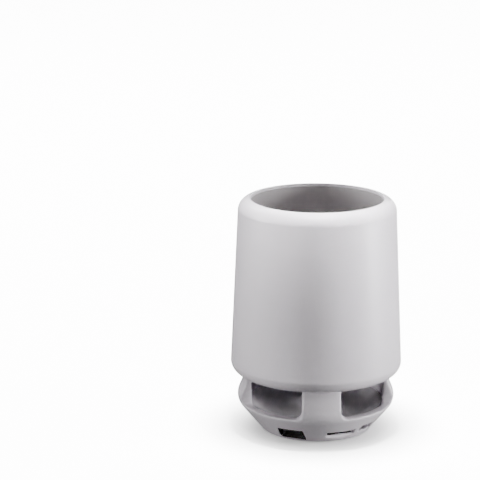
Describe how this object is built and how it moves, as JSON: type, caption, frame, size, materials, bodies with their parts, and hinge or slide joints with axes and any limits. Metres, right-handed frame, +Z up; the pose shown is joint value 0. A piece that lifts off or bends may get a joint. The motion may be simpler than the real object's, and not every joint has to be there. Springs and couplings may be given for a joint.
{
  "type": "pen stand with loudspeaker",
  "caption": "White tapered pen cup with a deep rounded lip on a windowed bowl base that holds a small loudspeaker, its board, battery, sockets and buttons.",
  "frame": {"origin": "on the desk, under the middle of the round base", "axes": "+Z up along the cup's axis; -Y towards the front, through the pillar between the two front windows; +X to the right seen from the front"},
  "size_m": [0.085, 0.085, 0.1174],
  "materials": {
    "white_plastic": "satin white with a faint lilac cast",
    "liner_plastic": "matt grey",
    "dish_plastic": "matt grey",
    "black_plastic": "matt black",
    "black_metal": "matt black paint",
    "plated_steel": "zinc plated",
    "black_rubber": "matt",
    "ferrite": "dull dark grey",
    "copper": "enamelled copper wire",
    "cone_paper": "pressed paper, black",
    "spider_cloth": "resin-stiffened cloth",
    "board_green": "green solder mask",
    "tinned_sheet": "tinned sheet",
    "lamp_resin": "diffusing",
    "clear_plastic": "clear, polished",
    "battery_foil": "satin foil",
    "chip_resin": "matt black",
    "connector_nylon": "natural nylon",
    "lead_sleeve": "red sleeve"
  },
  "bodies": {
    "stand": {"cup_shell": "white_plastic", "cup_floor": "white_plastic", "pen_cup_liner": "liner_plastic", "baffle_plate": "black_plastic", "speaker_grille": "black_metal", "driver_basket": "plated_steel", "driver_gasket": "black_rubber", "driver_top_plate": "plated_steel", "driver_magnet": "ferrite", "driver_yoke": "plated_steel", "driver_surround": "black_rubber", "driver_spider": "spider_cloth", "driver_screw_1": "plated_steel", "driver_screw_2": "plated_steel", "driver_screw_3": "plated_steel", "driver_screw_4": "plated_steel", "baffle_screw_1": "plated_steel", "baffle_screw_2": "plated_steel", "baffle_screw_3": "plated_steel", "baffle_screw_4": "plated_steel", "base_bowl": "white_plastic", "reflector_dish": "dish_plastic", "main_board": "board_green", "usb_a_shell": "tinned_sheet", "usb_a_tongue": "black_plastic", "usb_collar": "black_plastic", "card_socket": "black_plastic", "charge_socket_shell": "tinned_sheet", "charge_socket_tongue": "black_plastic", "tact_switch_1": "tinned_sheet", "tact_switch_2": "tinned_sheet", "tact_switch_3": "tinned_sheet", "power_switch_body": "tinned_sheet", "status_lamp": "lamp_resin", "lamp_light_pipe": "clear_plastic", "battery_cell": "battery_foil", "bluetooth_chip": "chip_resin", "amplifier_chip": "chip_resin", "charger_chip": "chip_resin", "power_inductor": "ferrite", "speaker_connector": "connector_nylon", "speaker_lead": "lead_sleeve", "bottom_cover": "white_plastic", "cover_screw_1": "plated_steel", "cover_screw_2": "plated_steel", "cover_screw_3": "plated_steel", "foot_pad_1": "black_rubber", "foot_pad_2": "black_rubber", "foot_pad_3": "black_rubber", "foot_pad_4": "black_rubber"},
    "volume_down": {"volume_down_button": "white_plastic"},
    "play": {"play_button": "white_plastic"},
    "volume_up": {"volume_up_button": "white_plastic"},
    "power_slider": {"power_switch_knob": "black_plastic"},
    "cone": {"driver_cone": "cone_paper", "driver_voice_coil": "copper", "driver_dust_cap": "cone_paper"}
  },
  "joints": [
    {"name": "volume_down_press", "type": "slide", "parent": "stand", "child": "volume_down", "axis": [-0.4695, -0.8829, 0], "range_m": [0, 0.0005], "stiffness_N_per_m": 800, "springref_m": -0.0008},
    {"name": "play_press", "type": "slide", "parent": "stand", "child": "play", "axis": [0, -1, 0], "range_m": [0, 0.0005], "stiffness_N_per_m": 800, "springref_m": -0.0008},
    {"name": "volume_up_press", "type": "slide", "parent": "stand", "child": "volume_up", "axis": [0.4695, -0.8829, 0], "range_m": [0, 0.0005], "stiffness_N_per_m": 800, "springref_m": -0.0008},
    {"name": "power_slide", "type": "slide", "parent": "stand", "child": "power_slider", "axis": [-0.6018, -0.7986, 0], "range_m": [0, 0.0022]},
    {"name": "cone_travel", "type": "slide", "parent": "stand", "child": "cone", "axis": [0, 0, 1], "range_m": [-0.0008, 0.0008], "stiffness_N_per_m": 600, "deforming": ["driver_surround", "driver_spider"]}
  ]
}
